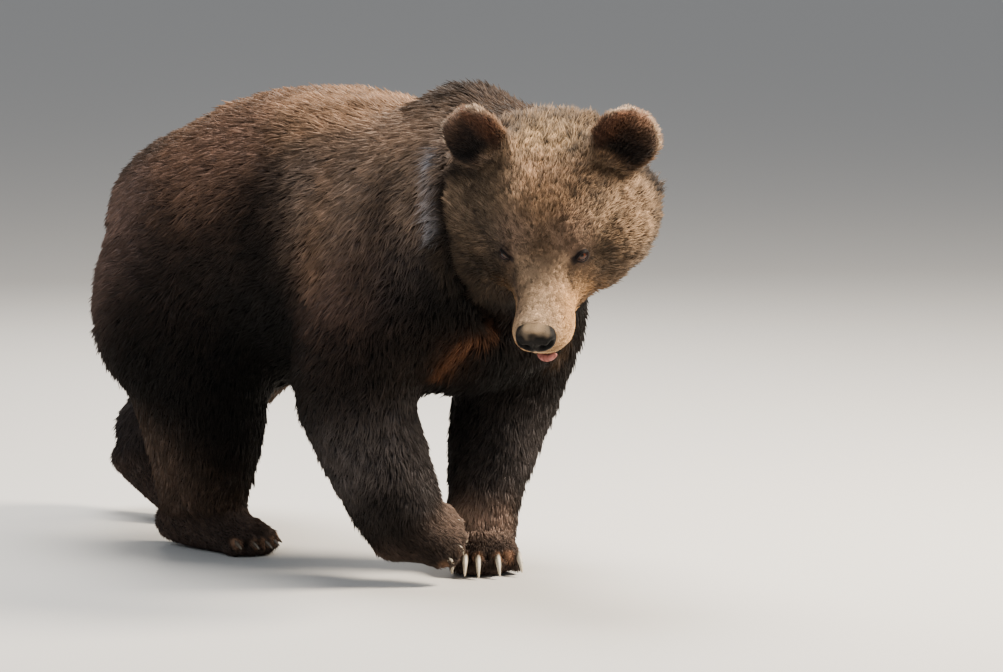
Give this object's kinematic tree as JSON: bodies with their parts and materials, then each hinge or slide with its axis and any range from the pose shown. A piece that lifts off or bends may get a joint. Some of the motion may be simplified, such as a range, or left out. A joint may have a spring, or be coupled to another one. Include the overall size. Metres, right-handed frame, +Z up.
{
  "type": "brown bear figure",
  "caption": "Life-size furred brown bear in a walking pose, head lowered and turned to its right, standing on three feet with one forepaw lifted.",
  "frame": {"origin": "middle of the footprint, at floor level", "axes": "+X towards the shoulders and head, +Z up, +Y towards the bear's left side"},
  "size_m": [1.8134, 0.6752, 1.0504],
  "materials": {
    "coat": "thick brown fur, darker on the legs and paler on the head",
    "nose_skin": "bare damp dark nose skin",
    "eye": "wet dark brown eye",
    "claw_horn": "worn pale horn"
  },
  "bodies": {
    "root": {"trunk": "coat", "neck": "coat", "head": "coat", "lower_jaw": "coat", "tail": "coat", "ear_left": "coat", "ear_right": "coat", "nose": "nose_skin", "eye_left": "eye", "eye_right": "eye", "upper_arm_left": "coat", "upper_arm_right": "coat", "forearm_left": "coat", "forearm_right": "coat", "paw_left": "coat", "paw_right": "coat", "thigh_left": "coat", "thigh_right": "coat", "lower_leg_left": "coat", "lower_leg_right": "coat", "foot_left": "coat", "foot_right": "coat", "claw_fore_left_1": "claw_horn", "claw_fore_left_2": "claw_horn", "claw_fore_left_3": "claw_horn", "claw_fore_left_4": "claw_horn", "claw_fore_left_5": "claw_horn", "claw_fore_right_1": "claw_horn", "claw_fore_right_2": "claw_horn", "claw_fore_right_3": "claw_horn", "claw_fore_right_4": "claw_horn", "claw_fore_right_5": "claw_horn", "claw_hind_left_1": "claw_horn", "claw_hind_left_2": "claw_horn", "claw_hind_left_3": "claw_horn", "claw_hind_left_4": "claw_horn", "claw_hind_left_5": "claw_horn", "claw_hind_right_1": "claw_horn", "claw_hind_right_2": "claw_horn", "claw_hind_right_3": "claw_horn", "claw_hind_right_4": "claw_horn", "claw_hind_right_5": "claw_horn"}
  },
  "joints": []
}
